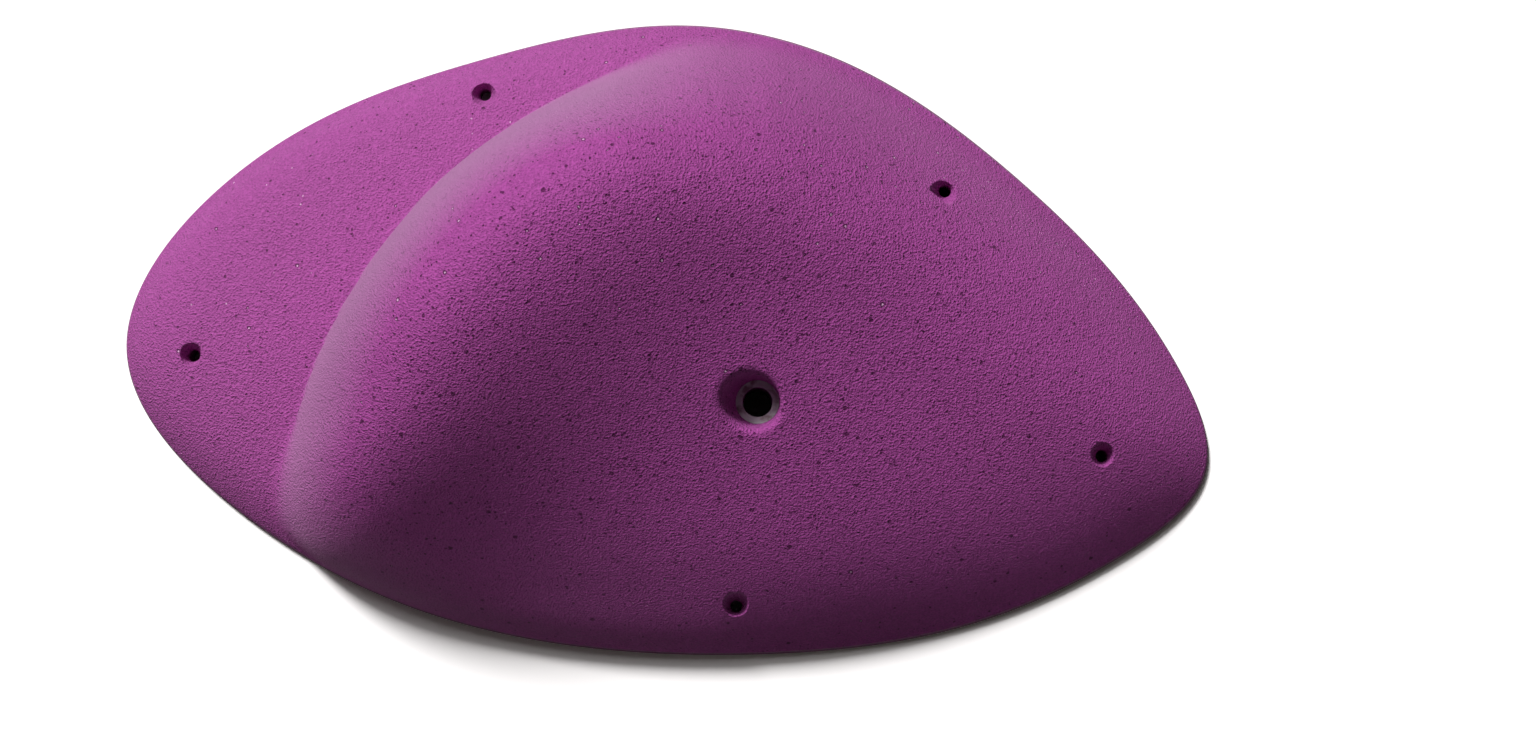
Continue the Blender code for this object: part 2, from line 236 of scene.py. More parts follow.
def frontRings(angles, domeRings, wingRings):
    # shares of the way out, for k rising to 1: 1 - (1 - k)^crowding up to the crease, then
    # even * k + (1 - even) * (1 - cos(pi k)) / 2 over the wing
    shoulder = topEdge(angles) - hold["rimEdge"]
    middle = smoothMin(domeFoot(angles), shoulder - hold["wingLeast"], hold["footEase"])
    inner = 1 - (1 - risingShares(domeRings)) ** hold["ringCrowding"]
    k = risingShares(wingRings)
    outer = hold["evenShare"] * k + (1 - hold["evenShare"]) * (0.5 - 0.5 * np.cos(math.pi * k))
    return np.vstack([inner[:, None] * middle, middle + outer[:, None] * (shoulder - middle)])


def bands(rows):  # quads between each closed row of numbers and the next one out
    near, far = rows[:-1], rows[1:]
    turned = np.roll(near, -1, axis=1), np.roll(far, -1, axis=1)
    return np.stack([near, far, turned[1], turned[0]], axis=-1)


class Sheet:  # points and faces gathered into one mesh
    def __init__(self):
        self.points, self.quads, self.caps, self.count = [], [], [], 0

    def add(self, points):  # numbers of the new points, in the same rows
        points = np.asarray(points, float)
        numbers = self.count + np.arange(points.size // 3).reshape(points.shape[:-1])
        self.points.append(points.reshape(-1, 3))
        self.count += points.size // 3
        return numbers

    def join(self, quads):  # faces of four points each
        self.quads.append(np.reshape(quads, (-1, 4)))

    def pole(self, point, ring):  # triangles from one point to the row round it
        middle = self.add([point])[0]
        self.caps += [(middle, a, b) for a, b in zip(ring.tolist(), np.roll(ring, -1).tolist())]

    def mesh(self, name):  # drops the points that no face uses
        points, quads = np.concatenate(self.points), np.concatenate(self.quads)
        capped = [n for cap in self.caps for n in cap]
        used = np.unique(np.concatenate([quads.ravel(), np.array(capped, int)]))
        fresh = np.zeros(len(points), int)
        fresh[used] = np.arange(len(used))
        faces = fresh[quads].tolist() + [fresh[list(cap)].tolist() for cap in self.caps]
        made = bpy.data.meshes.new(name)
        made.from_pydata(points[used].tolist(), [], faces)
        return made


def shown(name, mesh):  # an object of the mesh, linked to the scene
    made = bpy.data.objects.new(name, mesh)
    bpy.context.scene.collection.objects.link(made)
    return made


def applied(made):  # the object with its modifiers made part of its mesh
    graph = bpy.context.evaluated_depsgraph_get()
    mesh = bpy.data.meshes.new_from_object(made.evaluated_get(graph))
    made.modifiers.clear()
    made.data = mesh
    return made


def without(target, cutter):  # one object, or all those of a collection, taken away
    step = target.modifiers.new("Cut", "BOOLEAN")
    step.operation, step.solver = "DIFFERENCE", "EXACT"
    if isinstance(cutter, bpy.types.Collection):
        step.operand_type, step.collection = "COLLECTION", cutter
    else:
        step.object = cutter
    return applied(target)


# Bolt hole, and the washer at the bottom of its counterbore
bolt = {
    "seat": 20.6 * mm,         # counterbore's diameter at the washer
    "draft": math.radians(11),
    "lean": (-0.148, -0.081),  # sideways run of its middle by the height gained
    "lip": 3.6 * mm,           # rounding of the mouth
    "window": 25 * mm,         # half the width of the grid that its own rows replace
    "bore": 14 * mm,
    "washerDiameter": 28 * mm,
    "washerThickness": 3 * mm,
    "washerFoot": 72 * mm,
    "washerRound": 0.45 * mm,
    "washerRoundSteps": 5,
    "washerSegments": 96,
    "clearance": 0.3 * mm,
    "cutAbove": 1 * mm,        # how far the bore's cutter runs on into the washer's pocket
    "sharpAngle": math.radians(40),
}
# Set screw holes
screw = {
    "bore": 6 * mm,
    "cupDepth": 9 * mm,
    "cupDraft": math.radians(18),
    "lip": 0.5 * mm,
    "window": 8.5 * mm,
    "plainBore": (0.7 * mm, 2.5 * mm),  # depths of the bore's own rows under the cup
    "cutBelow": 1.5 * mm,      # depth under the cup at which the cutter from the back ends
    "cutterSlack": 0.03 * mm,  # how much thinner that cutter is, by radius
}
# Rows of points round a hole: in over the surface, over its lip and down its wall
patch = {
    "trials": 9,               # steps towards the place where the wall meets the surface
    "surfaceRows": 8,
    "surfaceCrowding": 1.4,
    "lipRows": 6,
    "wallRows": 12,
}


def holePatch(sheet, loop, at, lean, radiusAt, bottom, lip, floorRows):
    # a round hole whose middle leans: rows from the window's loop in to the lip by shares
    # 1 - (1 - k)^crowding, round the lip (a quadratic Bezier over its corner), down the
    # tapered wall, then the floor's own rows
    def wall(z):  # its middle at this height, and out along each direction by the radius
        return at + (z - bottom)[:, None] * lean + along * radiusAt(z)[:, None]

    middle = at + (float(heightAt(*at)) - bottom) * lean
    edge = np.concatenate(sheet.points)[loop][:, :2]
    facing = np.arctan2(*(edge - middle).T[::-1])
    along = np.stack([np.cos(facing), np.sin(facing)], axis=-1)
    corner = heightAt(*at) + 0 * facing
    for _ in range(patch["trials"]):        # where the wall meets the surface, by trial
        mouth = wall(corner)
        corner = heightAt(*mouth.T)
    start = mouth + along * lip
    low = corner - lip
    rows = [loop]
    for share in 1 - (1 - risingShares(patch["surfaceRows"])) ** patch["surfaceCrowding"]:
        spots = edge + (start - edge) * share
        rows.append(sheet.add(np.column_stack([spots, heightAt(*spots.T)])))
    high = heightAt(*start.T)
    for t in risingShares(patch["lipRows"]):
        shares = (1 - t) ** 2, 2 * t * (1 - t), t * t
        spots = shares[0] * start + shares[1] * mouth + shares[2] * wall(low)
        z = shares[0] * high + shares[1] * corner + shares[2] * low
        rows.append(sheet.add(np.column_stack([spots, z])))
    for t in risingShares(patch["wallRows"]):
        z = low + (bottom - low) * t
        rows.append(sheet.add(np.column_stack([wall(z), z])))
    for radius, z in floorRows:
        rows.append(sheet.add(np.column_stack([at + along * radius, z + 0 * facing])))
    sheet.join(bands(np.array(rows[::-1])))
    sheet.pole((at[0], at[1], floorRows[-1][1]), rows[-1])


def openWindow(sheet, numbers, keep, radii, angles, at, half):
    # the loop of grid points round a hole: all cells within half of it are left out
    arm = at - centre
    away, facing = math.hypot(*arm), math.atan2(arm[1], arm[0])
    turn = np.angle(np.exp(1j * (angles - facing)))
    nearest = np.argmin(np.abs(turn))
    columns = np.flatnonzero(np.abs(turn) * away < half)
    columns = columns[np.argsort(turn[columns])]
    rows = np.flatnonzero(np.abs(radii[:, nearest] - away) < half)
    first, last = rows[0], rows[-1]
    keep[first:last, columns[:-1]] = False
    return np.concatenate([
        numbers[first:last, columns[0]], numbers[last, columns[:-1]],
        numbers[last:first:-1, columns[-1]], numbers[first, columns[:0:-1]],
    ])


def frontSolid():
    # polar rings of surfaceHeight, the rim's top edge as a quadratic Bezier, and its wall
    sheet = Sheet()
    angles = stationAngles(hold["stations"])
    radii = frontRings(angles, hold["domeRings"], hold["wingRings"])
    front = placed(radii, angles, surfaceHeight(radii, angles + 0 * radii))
    edge, size = topEdge(angles), hold["rimEdge"]
    rim = []
    for t in risingShares(hold["rimRoundRows"]):
        away = (1 - t) ** 2 * (edge - size) + 2 * t * (1 - t) * edge
        away = away + t * t * (edge + size * math.tan(hold["rimDraft"]))
        top = (1 - t) ** 2 * front[-1, :, 2] + 2 * t * (1 - t) * hold["rimHeight"]
        rim.append(placed(away, angles, top + t * t * (hold["rimHeight"] - size)))
    outer = reach(outlineCurve, angles)
    for z in np.linspace(hold["rimHeight"] - size, 0, hold["rimWallRows"] + 1)[1:]:
        rim.append(placed(outer - z * math.tan(hold["rimDraft"]), angles, z))
    numbers = sheet.add(np.concatenate([front, rim]))
    keep = np.ones((len(numbers) - 1, len(angles)), bool)
    sheet.pole((*centre, float(heightAt(*centre))), numbers[0])

    roof = bolt["washerFoot"] + bolt["washerThickness"] + bolt["clearance"]
    floor = bolt["washerFoot"] - bolt["clearance"]
    pocket = bolt["washerDiameter"] / 2 + bolt["clearance"]
    seat, lean = bolt["seat"] / 2, np.array(bolt["lean"])

    def counterbore(z):  # radius: the seat's, and wider by the draft's tangent above it
        return seat + (z - roof) * math.tan(bolt["draft"])

    mouthMiddle = boltAxis + (float(heightAt(*boltAxis)) - roof) * lean
    loop = openWindow(sheet, numbers, keep, radii, angles, mouthMiddle, bolt["window"])
    under = ((pocket, roof), (pocket, floor), (seat / 2, floor))
    holePatch(sheet, loop, boltAxis, lean, counterbore, roof, bolt["lip"], under)
    for at in screwAxes:
        bottom = float(heightAt(*at)) - screw["cupDepth"]
        bore = screw["bore"] / 2

        def cup(z, bottom=bottom, bore=bore):  # radius: the bore's, widened likewise
            return bore + (z - bottom) * math.tan(screw["cupDraft"])

        loop = openWindow(sheet, numbers, keep, radii, angles, at, screw["window"])
        deep = [(bore, bottom - depth) for depth in screw["plainBore"]]
        holePatch(sheet, loop, at, np.zeros(2), cup, bottom, screw["lip"], deep)
    sheet.join(bands(numbers)[keep])
    sheet.caps.append(numbers[-1][::-1].tolist())
    return shown("holdShell", sheet.mesh("holdShell"))


# Hollow back, with a spine and cross ribs between the bosses
back = {
    "wall": 9 * mm,
    "rimLand": 14 * mm,
    "rib": 8 * mm,
    "ribRound": 1.5 * mm,
    "ribRoundSteps": 6,
    "spineSetback": 2 * mm,
    "ribSetback": 4 * mm,
    "screwBoss": 22 * mm,
    "boltBossWall": 8 * mm,
    "bossDraft": math.radians(1.5),
    "below": 12 * mm,          # how far the cutters run past the wall plane
    "stations": 220,
    "domeRings": 28,           # coarser than the front's
    "wingRings": 11,
    "bossSegments": 64,
    "boltBoreSegments": 72,
    "screwBoreSegments": 48,
}


def turnedSolid(name, profile, at, segments):
    # a solid turned about an upright axis from its radius and height pairs, top to bottom
    sheet = Sheet()
    around = np.linspace(0, tau, segments, endpoint=False)
    rows = [np.column_stack([at[0] + r * np.cos(around), at[1] + r * np.sin(around),
                             z + 0 * around]) for r, z in profile]
    numbers = sheet.add(rows)
    sheet.join(bands(numbers))
    sheet.pole((at[0], at[1], profile[0][1]), numbers[0])
    sheet.pole((at[0], at[1], profile[-1][1]), numbers[-1][::-1])
    return shown(name, sheet.mesh(name))


def ribSolid(name, start, end, setback):
    # a rounded bar section carried from one point to the other, and on above the ceiling
    start, end = np.array(start), np.array(end)
    ahead = (end - start) / np.linalg.norm(end - start)
    side = np.array([-ahead[1], ahead[0]])
    half, size = back["rib"] / 2, back["ribRound"]
    bend = np.linspace(0, math.pi / 2, back["ribRoundSteps"])
    across = np.concatenate([half - size + size * np.sin(bend), [half, -half],
                             size - half - size * np.cos(bend)])
    up = np.concatenate([setback + size - size * np.cos(bend), [hold["height"]] * 2,
                         setback + size - size * np.sin(bend)])
    sheet = Sheet()
    ends = [np.column_stack([place + across[:, None] * side, up]) for place in (end, start)]
    numbers = sheet.add(ends)
    sheet.join(bands(numbers))
    sheet.caps += [numbers[0].tolist(), numbers[1][::-1].tolist()]
    return shown(name, sheet.mesh(name))


def hollowCore():
    # surfaceHeight less the wall, drawn in by the rim's land, and on below the wall plane
    sheet = Sheet()
    angles = stationAngles(back["stations"])
    edge = topEdge(angles)
    radii = frontRings(angles, back["domeRings"], back["wingRings"])[:-1]
    heights = surfaceHeight(radii, angles + 0 * radii) - back["wall"]
    rows = placed(radii * (edge - back["rimLand"]) / edge, angles, heights)
    foot = placed(edge - back["rimLand"], angles, -back["below"])
    numbers = sheet.add(np.concatenate([rows, [foot]]))
    sheet.join(bands(numbers))
    top = float(heightAt(*centre)) - back["wall"]
    sheet.pole((*centre, top), numbers[0])
    sheet.caps.append(numbers[-1][::-1].tolist())
    return shown("hollowCore", sheet.mesh("hollowCore"))


def backCutter():  # the hollow less its bosses and ribs, and the bores through the bosses
    tall = hold["height"] + back["below"]
    widen = tall * math.tan(back["bossDraft"])

    def boss(name, at, foot):  # a cone as wide as foot below the wall, and wider above
        profile = ((foot / 2 + widen, tall), (foot / 2, -back["below"]))
        return turnedSolid(name, profile, at, back["bossSegments"])

    webs = [boss("boltBoss", boltAxis, bolt["washerDiameter"] + 2 * back["boltBossWall"])]
    webs += [boss("screwBoss", at, back["screwBoss"]) for at in screwAxes]
    ends = [(limit(screwAxes[:, 0]), boltAxis[1]) for limit in (min, max)]
    webs.append(ribSolid("spine", *ends, back["spineSetback"]))
    webs += [ribSolid("rib", (at[0], boltAxis[1]), at, back["ribSetback"]) for at in screwAxes]
    group = bpy.data.collections.new("webs")
    for web in webs:
        group.objects.link(web)
    core = without(hollowCore(), group)
    bore = bolt["bore"] / 2
    top = bolt["washerFoot"] - bolt["clearance"] + bolt["cutAbove"]
    profile = ((bore, top), (bore, -back["below"]))
    bores = [turnedSolid("bore", profile, boltAxis, back["boltBoreSegments"])]
    bore = screw["bore"] / 2 - screw["cutterSlack"]
    for at in screwAxes:
        top = float(heightAt(*at)) - screw["cupDepth"] - screw["cutBelow"]
        profile = ((bore, top), (bore, -back["below"]))
        bores.append(turnedSolid("bore", profile, at, back["screwBoreSegments"]))
    with bpy.context.temp_override(active_object=core, selected_editable_objects=[core, *bores]):
        bpy.ops.object.join()
    for web in webs:
        bpy.data.objects.remove(web)
    bpy.data.collections.remove(group)
    return core


def softWithSharp(made, angle):  # smooth shading that stops at edges sharper than the angle
    made.data.shade_smooth()
    made.data.set_sharp_from_angle(angle=angle)


holdShell = frontSolid()
cutter = backCutter()
without(holdShell, cutter)
bpy.data.objects.remove(cutter)
softWithSharp(holdShell, hold["sharpAngle"])
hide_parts("hold_shell")
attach(holdShell, "root")
print("casting:", len(holdShell.data.polygons), "faces")


def washerRing():  # a rectangle with rounded corners, turned about the bolt's axis
    inner, outer = bolt["bore"] / 2, bolt["washerDiameter"] / 2
    low, size = bolt["washerFoot"], bolt["washerRound"]
    high = low + bolt["washerThickness"]
    bend = np.linspace(0, math.pi / 2, bolt["washerRoundSteps"])
    corners = ((outer - size, high - size, 0), (outer - size, low + size, -1),
               (inner + size, low + size, -2), (inner + size, high - size, -3))
    radii, heights = [], []
    for r, z, quarter in corners:
        facing = math.pi / 2 - bend + quarter * math.pi / 2
        radii.append(r + size * np.cos(facing))
        heights.append(z + size * np.sin(facing))
    radii, heights = np.concatenate(radii), np.concatenate(heights)
    around = np.linspace(0, tau, bolt["washerSegments"], endpoint=False)[None, :]
    radii, heights = radii[:, None], heights[:, None]
    points = np.stack([boltAxis[0] + radii * np.cos(around), boltAxis[1] + radii * np.sin(around),
                       heights + 0 * around], axis=-1)
    sheet = Sheet()
    numbers = sheet.add(points)
    sheet.join(bands(np.concatenate([numbers, numbers[:1]])))
    return shown("boltWasher", sheet.mesh("boltWasher"))


boltWasher = washerRing()
softWithSharp(boltWasher, bolt["sharpAngle"])
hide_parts("bolt_washer")
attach(boltWasher, "root")
print("washer made")


def putNode(tree, kind, settings=None, **values):
    # a node with its settings, and its sockets by name, or by number as s0, s1 and so on:
    # numbers are set, sockets are wired
    made = tree.nodes.new(kind)
    for name, value in (settings or {}).items():
        setattr(made, name, value)
    for name, value in values.items():
        place = int(name[1:]) if name[1:].isdigit() else name.replace("_", " ")
        if isinstance(value, bpy.types.NodeSocket):
            tree.links.new(value, made.inputs[place])
        else:
            made.inputs[place].default_value = value
    return made


def maths(tree, operation, first, second, clamp=False):  # one Math node's value
    settings = {"operation": operation, "use_clamp": clamp}
    return putNode(tree, "ShaderNodeMath", settings, s0=first, s1=second).outputs[0]


def blendColour(tree, share, first, second, way="MIX"):  # a colour Mix node's result
    settings = {"data_type": "RGBA", "blend_type": way}
    return putNode(tree, "ShaderNodeMix", settings, s0=share, s6=first, s7=second).outputs[2]


def ramp(tree, value, span, ends=(0.0, 1.0)):  # the ends blended by how far a span is run
    return putNode(tree, "ShaderNodeMapRange", Value=value, From_Min=span[0], From_Max=span[1],
                   To_Min=ends[0], To_Max=ends[1]).outputs[0]


def newGroup(name, takes, gives):
    # a node group whose sockets go in as name, kind and usual value, and out as name and kind
    tree = bpy.data.node_groups.new(name, "ShaderNodeTree")
    for label, kind, value in takes:
        made = tree.interface.new_socket(label, in_out="INPUT", socket_type=kind)
        if value is not None:
            made.default_value = value
    for label, kind in gives:
        tree.interface.new_socket(label, in_out="OUTPUT", socket_type=kind)
    return tree, tree.nodes.new("NodeGroupInput").outputs, tree.nodes.new("NodeGroupOutput")


def useGroup(tree, group, **values):  # a group's outputs, with its sockets set or wired
    return putNode(tree, "ShaderNodeGroup", {"node_tree": group}, **values).outputs


# Moulded grain: two layers of noise with a close-set dimple at each random point
grainLook = {
    "coarseDetail": 1.5,
    "coarseRoughness": 0.65,
    "fineTimes": 2.3,          # how much finer the second noise is
    "fineDetail": 1.0,
    "fineRoughness": 0.6,
    "dimpleTimes": 0.8,
    "shadeTimes": 0.5,
}
grainTree, takes, gives = newGroup(
    "mouldedGrain",
    (("Vector", "NodeSocketVector", None), ("Size", "NodeSocketFloat", 0.001),
     ("Fine Share", "NodeSocketFloat", 0.4), ("Dimple Share", "NodeSocketFloat", 0.5)),
    (("Height", "NodeSocketFloat"), ("Shade", "NodeSocketFloat")),
)
coarseScale = maths(grainTree, "DIVIDE", 1.0, takes["Size"])
coarse = putNode(grainTree, "ShaderNodeTexNoise", Vector=takes["Vector"], Scale=coarseScale,
                 Detail=grainLook["coarseDetail"],
                 Roughness=grainLook["coarseRoughness"]).outputs[0]
fineScale = maths(grainTree, "MULTIPLY", coarseScale, grainLook["fineTimes"])
fine = putNode(grainTree, "ShaderNodeTexNoise", Vector=takes["Vector"], Scale=fineScale,
               Detail=grainLook["fineDetail"], Roughness=grainLook["fineRoughness"]).outputs[0]
fineBit = maths(grainTree, "MULTIPLY", fine, takes["Fine Share"])
dimpleScale = maths(grainTree, "MULTIPLY", coarseScale, grainLook["dimpleTimes"])
dimple = putNode(grainTree, "ShaderNodeTexVoronoi", Vector=takes["Vector"],
                 Scale=dimpleScale).outputs["Distance"]
dimpleBit = maths(grainTree, "MULTIPLY", dimple, takes["Dimple Share"])
height = maths(grainTree, "ADD", maths(grainTree, "ADD", coarse, fineBit), dimpleBit)
grainTree.links.new(height, gives.inputs["Height"])
# Shade is painted shade and light: low where the noise and the dimples sink, high where they rise
shade = maths(grainTree, "ADD", coarse, dimple)
shade = maths(grainTree, "MULTIPLY", shade, grainLook["shadeTimes"])
grainTree.links.new(shade, gives.inputs["Shade"])

# Scattered spots: balls round random points in space, kept by chance and cut by the surface
spotLook = {
    "wobbleScale": 900.0,
    "wobbleDetail": 1.0,
    "leastSize": 0.35,         # of the radius, for the smallest balls
    "crispness": 4.0,          # how quickly a spot reaches its full strength inwards
}
spotTree, takes, gives = newGroup(
    "scatteredSpots",
    (("Vector", "NodeSocketVector", None), ("Spacing", "NodeSocketFloat", 0.006),
     ("Radius", "NodeSocketFloat", 0.001), ("Share", "NodeSocketFloat", 0.5),
     ("Raggedness", "NodeSocketFloat", 0.0004)),
    (("Mask", "NodeSocketFloat"),),
)
wobble = putNode(spotTree, "ShaderNodeTexNoise", Vector=takes["Vector"],
                 Scale=spotLook["wobbleScale"],
                 Detail=spotLook["wobbleDetail"]).outputs["Color"]
wobble = putNode(spotTree, "ShaderNodeVectorMath", {"operation": "SUBTRACT"}, s0=wobble,
                 s1=(0.5, 0.5, 0.5)).outputs[0]
wobble = putNode(spotTree, "ShaderNodeVectorMath", {"operation": "SCALE"}, s0=wobble,
                 s3=takes["Raggedness"]).outputs[0]
moved = putNode(spotTree, "ShaderNodeVectorMath", {"operation": "ADD"}, s0=takes["Vector"],
                s1=wobble).outputs[0]
cells = putNode(spotTree, "ShaderNodeTexVoronoi", Vector=moved,
                Scale=maths(spotTree, "DIVIDE", 1.0, takes["Spacing"])).outputs
chance = putNode(spotTree, "ShaderNodeSeparateColor", s0=cells["Color"]).outputs
kept = maths(spotTree, "LESS_THAN", chance[0], takes["Share"])
bigger = maths(spotTree, "MULTIPLY", chance[1], 1 - spotLook["leastSize"])
size = maths(spotTree, "ADD", spotLook["leastSize"], bigger)
size = maths(spotTree, "MULTIPLY", takes["Radius"], size)
away = maths(spotTree, "MULTIPLY", cells["Distance"], takes["Spacing"])
depth = maths(spotTree, "SUBTRACT", 1.0, maths(spotTree, "DIVIDE", away, size), clamp=True)
depth = maths(spotTree, "MULTIPLY", depth, spotLook["crispness"], clamp=True)
spotTree.links.new(maths(spotTree, "MULTIPLY", depth, kept), gives.inputs["Mask"])
print("node groups made")


def spotMask(tree, spot, look, share):  # where scattered spots of one look lie
    return useGroup(tree, spotTree, Vector=spot, Spacing=look["spacing"],
                    Radius=look["radius"], Share=share, Raggedness=look["ragged"])["Mask"]


purple = {
    "colour": (0.475, 0.088, 0.392, 1),
    "deep": (0.410, 0.074, 0.337, 1),   # in the darker clouds
    # painted shade in pores and pits
    "poreShade": (0.095, 0.012, 0.072, 1),
    "dust": (0.84, 0.48, 0.76, 1),
    "paintedSheen": (0.50, 0.215, 0.445, 1),  # painted sheen, seen at a slant, mostly on the wing's side
    "paintedPaleLight": (0.75, 0.28, 0.62, 1),   # painted light: a thin pale veil on the low parts of the wing's side
    "rim": (0.300, 0.135, 0.250, 1),    # painted shade on the wall round the foot, darker and greyer
    "rimHighlight": (0.62, 0.38, 0.57, 1),      # painted highlight: a pale line along its top edge
    "roughness": 0.82,
    "holeRoughness": 0.2,               # added in pores and pits
    "specular": 0.15,
    "ior": 1.45,
    "sheen": 0.02,
    "sheenRoughness": 0.40,
    "cloudScale": 14.0,
    "cloudDetail": 3.0,
    "grainSize": 0.95 * mm,
    "fineShare": 0.40,
    "dimpleShare": 0.55,
    "grainDepth": 1.25,                 # millimetres
    "shadeSpan": (0.3, 0.7),            # of the grain's painted shade, and the tones at its ends
    "shadeTones": (0.80, 1.16),
    "pores": {"spacing": 2.5 * mm, "radius": 0.75 * mm, "ragged": 0.7 * mm},
    "pits": {"spacing": 6 * mm, "radius": 1.3 * mm, "ragged": 0.8 * mm},
    "poreShare": 0.85,                  # how many of the random points have one, high up
    "pitShare": 0.6,
    "highSpan": (30 * mm, 80 * mm),     # heights over which their share rises
    "highEnds": (0.25, 1.0),
    # how far the painted shade covers pores and pits
    "holeShadeCover": 0.85,
    "poreDepth": 0.5,                   # millimetres
    "specks": {"spacing": 6 * mm, "radius": 0.7 * mm, "ragged": 0.5 * mm},
    "speckSpan": (-40 * mm, 80 * mm),   # of Y, with the share of points at its ends
    "speckEnds": (0.03, 0.5),
    "rimUnevenness": 1.5 * mm,
    "rimSpan": (4.4 * mm, 5.6 * mm),    # heights over which the rim's painted shade ends
    "slantSpan": (0.38, 0.86),
    "wingSpan": (-30 * mm, 50 * mm),    # of X, over which the wing's side ends, for the painted sheen and pale light
    "wingEnds": (1.0, 0.25),
    "aboveRimSpan": (10 * mm, 26 * mm),
    "plainRound": (20 * mm, 7 * mm),    # about bolt and screws, where no sheen is painted
    "veil": 0.14,
}


def polyurethane():
    # clouds and grain with painted shade in its hollows, and over them pores in painted shade,
    # dust, the rim in painted shade with a painted highlight, painted sheen at slants and the
    # wing's veil of painted light
    made = bpy.data.materials.new("Purple polyurethane")
    made.use_nodes = True
    tree = made.node_tree
    shader = tree.nodes["Principled BSDF"]
    spot = putNode(tree, "ShaderNodeTexCoord").outputs["Object"]
    place = putNode(tree, "ShaderNodeSeparateXYZ", s0=spot).outputs
    cloud = putNode(tree, "ShaderNodeTexNoise", Vector=spot, Scale=purple["cloudScale"],
                    Detail=purple["cloudDetail"]).outputs[0]
    colour = blendColour(tree, cloud, purple["deep"], purple["colour"])
    grain = useGroup(tree, grainTree, Vector=spot, Size=purple["grainSize"],
                     Fine_Share=purple["fineShare"], Dimple_Share=purple["dimpleShare"])
    # painted shade in the grain's hollows and painted light on its rises
    tone = ramp(tree, grain["Shade"], purple["shadeSpan"], purple["shadeTones"])
    colour = blendColour(tree, 1.0, colour, tone, "MULTIPLY")

    high = ramp(tree, place["Z"], purple["highSpan"], purple["highEnds"])
    poreShare = maths(tree, "MULTIPLY", high, purple["poreShare"])
    pitShare = maths(tree, "MULTIPLY", high, purple["pitShare"])
    holes = maths(tree, "MAXIMUM", spotMask(tree, spot, purple["pores"], poreShare),
                  spotMask(tree, spot, purple["pits"], pitShare))
    covered = maths(tree, "MULTIPLY", holes, purple["holeShadeCover"])
    # painted shade: pores and pits darkened
    colour = blendColour(tree, covered, colour, purple["poreShade"])
    speckShare = ramp(tree, place["Y"], purple["speckSpan"], purple["speckEnds"])
    dust = spotMask(tree, spot, purple["specks"], speckShare)
    colour = blendColour(tree, dust, colour, purple["dust"])

    # painted shade: the wall round the foot in a darker, greyer purple
    unevenness = maths(tree, "MULTIPLY", grain["Shade"], purple["rimUnevenness"])
    level = maths(tree, "ADD", place["Z"], unevenness)
    onRim = ramp(tree, level, purple["rimSpan"], (1.0, 0.0))
    colour = blendColour(tree, onRim, colour, purple["rim"])
    offRim = maths(tree, "SUBTRACT", 2.0, maths(tree, "MULTIPLY", onRim, 2.0))
    along = maths(tree, "MULTIPLY", onRim, offRim)  # 2 r (1 - r), most where the rim ends
    # painted highlight along the rim's top edge
    colour = blendColour(tree, along, colour, purple["rimHighlight"])

    # painted sheen: a paler colour at slants on the wing's side, above the rim and away from the
    # holes
    slant = putNode(tree, "ShaderNodeLayerWeight", Blend=0.5).outputs["Facing"]
    slant = ramp(tree, slant, purple["slantSpan"])
    wingSide = ramp(tree, place["X"], purple["wingSpan"], purple["wingEnds"])
    aboveRim = ramp(tree, place["Z"], purple["aboveRimSpan"])
    slant = maths(tree, "MULTIPLY", slant, maths(tree, "MULTIPLY", wingSide, aboveRim))
    plan = putNode(tree, "ShaderNodeVectorMath", {"operation": "MULTIPLY"}, s0=spot,
                   s1=(1, 1, 0)).outputs[0]
    for number, at in enumerate([boltAxis, *screwAxes]):
        away = putNode(tree, "ShaderNodeVectorMath", {"operation": "DISTANCE"}, s0=plan,
                       s1=(*at, 0)).outputs["Value"]
        outside = maths(tree, "GREATER_THAN", away, purple["plainRound"][min(number, 1)])
        slant = maths(tree, "MULTIPLY", slant, outside)
    colour = blendColour(tree, slant, colour, purple["paintedSheen"])
    # painted light: the low parts on the wing's side made paler
    onWing = maths(tree, "MULTIPLY", wingSide, maths(tree, "SUBTRACT", 1.0, high))
    veil = maths(tree, "MULTIPLY", onWing, purple["veil"])
    colour = blendColour(tree, veil, colour, purple["paintedPaleLight"])
    tree.links.new(colour, shader.inputs["Base Color"])

    rough = maths(tree, "MULTIPLY", holes, purple["holeRoughness"])
    dull = maths(tree, "ADD", purple["roughness"], rough)
    tree.links.new(dull, shader.inputs["Roughness"])
    raised = maths(tree, "MULTIPLY", grain["Height"], purple["grainDepth"])
    sunk = maths(tree, "MULTIPLY", holes, purple["poreDepth"])
    relief = maths(tree, "SUBTRACT", raised, sunk)
    bump = putNode(tree, "ShaderNodeBump", Height=relief, Distance=1 * mm, Strength=1.0)
    tree.links.new(bump.outputs[0], shader.inputs["Normal"])
    shader.inputs["Sheen Weight"].default_value = purple["sheen"]
    shader.inputs["Sheen Roughness"].default_value = purple["sheenRoughness"]
    shader.inputs["IOR"].default_value = purple["ior"]
    shader.inputs["Specular IOR Level"].default_value = purple["specular"]
    return made


steel = {
    # darker than bare zinc plate: painted shade of the counterbore it lies in
    "colour": (0.46, 0.45, 0.46, 1),
    "stain": (0.15, 0.105, 0.09, 1),
    "roughness": 0.6,
    "stainRoughness": 0.3,              # added where it is stained
    "metallic": 0.02,                   # low, because the white backdrop mirrors in it
    "specular": 0.05,
    "cloudScale": 220.0,
    "cloudDetail": 4.0,
    "stainSpan": (0.52, 0.66),
    "stainEnds": (0.0, 0.7),
    "specks": {"spacing": 2.5 * mm, "radius": 0.5 * mm, "ragged": 0.5 * mm},
    "speckShare": 0.5,
    "speckCover": 0.5,
    "grainSize": 0.6 * mm,
    "fineShare": 0.5,
    "dimpleShare": 0.0,
    "grainDepth": 0.02,                 # millimetres
}


